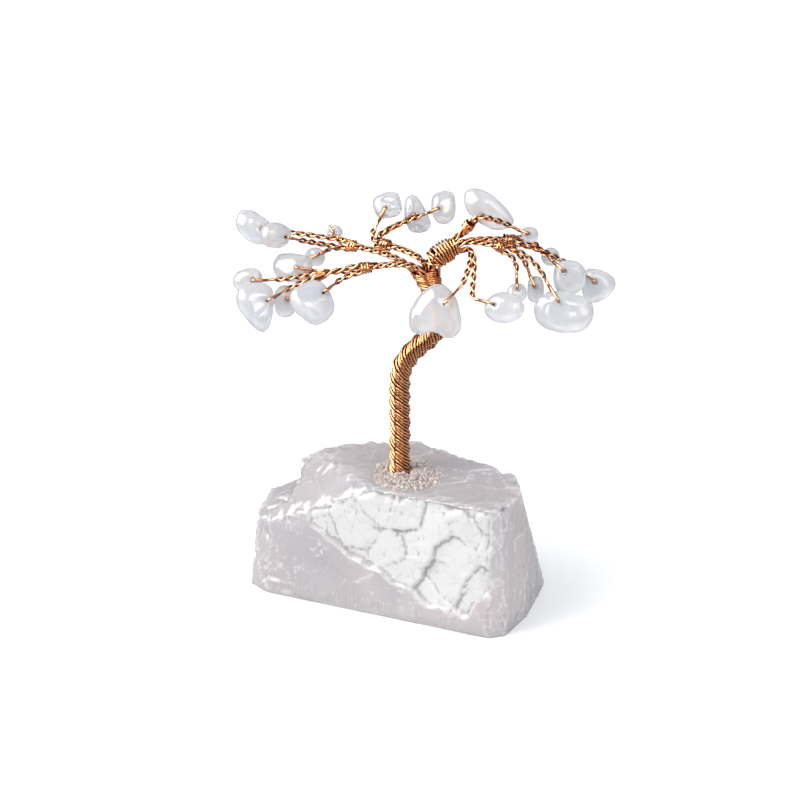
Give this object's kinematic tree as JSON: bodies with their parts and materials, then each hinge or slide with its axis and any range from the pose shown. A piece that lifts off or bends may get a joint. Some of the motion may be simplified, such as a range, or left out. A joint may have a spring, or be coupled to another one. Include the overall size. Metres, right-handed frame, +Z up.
{
  "type": "gemstone tree ornament",
  "caption": "Small desk ornament: tumbled quartz chips on twisted copper-wire branches, on a crooked wire-wound trunk set in a rough quartz block.",
  "frame": {"origin": "on the block's sawn underside, straight below the foot of the trunk", "axes": "+Z up along the trunk's straight foot, +X to the right of the face that the picture shows, +Y away from the viewer"},
  "size_m": [0.0686, 0.0366, 0.0766],
  "materials": {
    "copper_wire": "bright drawn copper",
    "tumbled_quartz": "tumbled and polished, milky to clear",
    "rough_quartz": "rough, cleaved, milky",
    "crushed_quartz": "crushed",
    "clear_glue": "clear, set"
  },
  "bodies": {
    "tree": {"rock_base": "rough_quartz", "socket_glue": "clear_glue", "quartz_grit": "crushed_quartz", "trunk_core": "copper_wire", "trunk_strands": "copper_wire", "branch_left_high": "copper_wire", "branch_left_low": "copper_wire", "branch_back": "copper_wire", "branch_bough": "copper_wire", "twig_left_high_1": "copper_wire", "twig_left_high_2": "copper_wire", "twig_left_high_3": "copper_wire", "twig_left_high_4": "copper_wire", "branch_left_far": "copper_wire", "twig_left_low_1": "copper_wire", "twig_left_low_2": "copper_wire", "twig_back_1": "copper_wire", "twig_back_2": "copper_wire", "twig_back_3": "copper_wire", "branch_right_high": "copper_wire", "branch_right_middle": "copper_wire", "branch_right_low": "copper_wire", "twig_right_high_1": "copper_wire", "twig_front_1": "copper_wire", "twig_front_2": "copper_wire", "twig_left_far_1": "copper_wire", "twig_left_far_2": "copper_wire", "twig_left_far_3": "copper_wire", "twig_right_high_2": "copper_wire", "twig_right_middle_1": "copper_wire", "twig_right_middle_2": "copper_wire", "twig_right_middle_3": "copper_wire", "twig_right_low_1": "copper_wire", "twig_right_low_2": "copper_wire", "twig_right_low_3": "copper_wire", "crown_wrap": "copper_wire"},
    "chip_left_high_1": {"chip_left_high_1": "tumbled_quartz"},
    "chip_left_high_2": {"chip_left_high_2": "tumbled_quartz"},
    "chip_left_high_3": {"chip_left_high_3": "tumbled_quartz"},
    "chip_left_high_4": {"chip_left_high_4": "tumbled_quartz"},
    "chip_left_low_1": {"chip_left_low_1": "tumbled_quartz"},
    "chip_left_low_2": {"chip_left_low_2": "tumbled_quartz"},
    "chip_back_1": {"chip_back_1": "tumbled_quartz"},
    "chip_back_2": {"chip_back_2": "tumbled_quartz"},
    "chip_back_3": {"chip_back_3": "tumbled_quartz"},
    "chip_right_high_1": {"chip_right_high_1": "tumbled_quartz"},
    "chip_front_1": {"chip_front_1": "tumbled_quartz"},
    "chip_front_2": {"chip_front_2": "tumbled_quartz"},
    "chip_left_far_1": {"chip_left_far_1": "tumbled_quartz"},
    "chip_left_far_2": {"chip_left_far_2": "tumbled_quartz"},
    "chip_left_far_3": {"chip_left_far_3": "tumbled_quartz"},
    "chip_right_high_2": {"chip_right_high_2": "tumbled_quartz"},
    "chip_right_middle_1": {"chip_right_middle_1": "tumbled_quartz"},
    "chip_right_middle_2": {"chip_right_middle_2": "tumbled_quartz"},
    "chip_right_middle_3": {"chip_right_middle_3": "tumbled_quartz"},
    "chip_right_low_1": {"chip_right_low_1": "tumbled_quartz"},
    "chip_right_low_2": {"chip_right_low_2": "tumbled_quartz"},
    "chip_right_low_3": {"chip_right_low_3": "tumbled_quartz"}
  },
  "joints": [
    {"name": "left_high_1_swing", "type": "hinge", "parent": "tree", "child": "chip_left_high_1", "pos_m": [-0.02413, 0.00381, 0.06886], "axis": [-0.0792, -0.9224, 0.3781], "range_deg": [-15, 15]},
    {"name": "left_high_2_swing", "type": "hinge", "parent": "tree", "child": "chip_left_high_2", "pos_m": [-0.02067, -0.00239, 0.06958], "axis": [0.5616, -0.7971, 0.2219], "range_deg": [-15, 15]},
    {"name": "left_high_3_swing", "type": "hinge", "parent": "tree", "child": "chip_left_high_3", "pos_m": [-0.01156, 0.00723, 0.06658], "axis": [-0.516, -0.0012, 0.8566], "range_deg": [-15, 15]},
    {"name": "left_high_4_swing", "type": "hinge", "parent": "tree", "child": "chip_left_high_4", "pos_m": [-0.01463, 0.00682, 0.06283], "axis": [-0.7556, -0.6365, -0.1549], "range_deg": [-15, 15]},
    {"name": "left_low_1_swing", "type": "hinge", "parent": "tree", "child": "chip_left_low_1", "pos_m": [-0.0175, 0.00207, 0.06207], "axis": [-0.4187, -0.8203, 0.3895], "range_deg": [-15, 15]},
    {"name": "left_low_2_swing", "type": "hinge", "parent": "tree", "child": "chip_left_low_2", "pos_m": [-0.01404, -0.00692, 0.06007], "axis": [0.3681, -0.689, 0.6244], "range_deg": [-15, 15]},
    {"name": "back_1_swing", "type": "hinge", "parent": "tree", "child": "chip_back_1", "pos_m": [-0.00277, 0.00977, 0.07018], "axis": [0.1453, -0.7879, 0.5984], "range_deg": [-15, 15]},
    {"name": "back_2_swing", "type": "hinge", "parent": "tree", "child": "chip_back_2", "pos_m": [0.00185, 0.01374, 0.06768], "axis": [0.3989, -0.7321, 0.5522], "range_deg": [-15, 15]},
    {"name": "back_3_swing", "type": "hinge", "parent": "tree", "child": "chip_back_3", "pos_m": [0.00684, 0.01079, 0.07019], "axis": [0.0709, -0.9167, 0.3932], "range_deg": [-15, 15]},
    {"name": "right_high_1_swing", "type": "hinge", "parent": "tree", "child": "chip_right_high_1", "pos_m": [0.01452, 0.0033, 0.07158], "axis": [-0.0674, -0.9514, 0.3006], "range_deg": [-15, 15]},
    {"name": "front_1_swing", "type": "hinge", "parent": "tree", "child": "chip_front_1", "pos_m": [0.00763, -0.00595, 0.0583], "axis": [0.0104, -0.925, 0.3799], "range_deg": [-15, 15]},
    {"name": "front_2_swing", "type": "hinge", "parent": "tree", "child": "chip_front_2", "pos_m": [0.01669, -0.00844, 0.05907], "axis": [-0.2598, -0.8628, 0.4337], "range_deg": [-15, 15]},
    {"name": "left_far_1_swing", "type": "hinge", "parent": "tree", "child": "chip_left_far_1", "pos_m": [-0.02552, -0.00022, 0.06064], "axis": [-0.2083, -0.912, 0.3535], "range_deg": [-15, 15]},
    {"name": "left_far_2_swing", "type": "hinge", "parent": "tree", "child": "chip_left_far_2", "pos_m": [-0.02347, -0.0053, 0.05847], "axis": [0.199, -0.8582, 0.4731], "range_deg": [-15, 15]},
    {"name": "left_far_3_swing", "type": "hinge", "parent": "tree", "child": "chip_left_far_3", "pos_m": [-0.01938, -0.00114, 0.05785], "axis": [-0.28, -0.9538, 0.1088], "range_deg": [-15, 15]},
    {"name": "right_high_2_swing", "type": "hinge", "parent": "tree", "child": "chip_right_high_2", "pos_m": [0.02201, -0.00015, 0.06949], "axis": [0.3242, -0.9215, 0.2138], "range_deg": [-15, 15]},
    {"name": "right_middle_1_swing", "type": "hinge", "parent": "tree", "child": "chip_right_middle_1", "pos_m": [0.02632, 0.00659, 0.06306], "axis": [0.5508, -0.8242, -0.1317], "range_deg": [-15, 15]},
    {"name": "right_middle_2_swing", "type": "hinge", "parent": "tree", "child": "chip_right_middle_2", "pos_m": [0.02882, 0.00035, 0.06209], "axis": [0.0021, -0.9299, 0.3678], "range_deg": [-15, 15]},
    {"name": "right_middle_3_swing", "type": "hinge", "parent": "tree", "child": "chip_right_middle_3", "pos_m": [0.03412, 0.00478, 0.05882], "axis": [0.2999, -0.9401, 0.1619], "range_deg": [-15, 15]},
    {"name": "right_low_1_swing", "type": "hinge", "parent": "tree", "child": "chip_right_low_1", "pos_m": [0.02765, -0.00539, 0.0585], "axis": [0.0051, -0.9325, 0.3611], "range_deg": [-15, 15]},
    {"name": "right_low_2_swing", "type": "hinge", "parent": "tree", "child": "chip_right_low_2", "pos_m": [0.02346, -0.00012, 0.05999], "axis": [0.1626, -0.9849, -0.0592], "range_deg": [-15, 15]},
    {"name": "right_low_3_swing", "type": "hinge", "parent": "tree", "child": "chip_right_low_3", "pos_m": [0.02048, -0.00373, 0.06045], "axis": [0.0008, -0.9416, 0.3367], "range_deg": [-15, 15]}
  ]
}
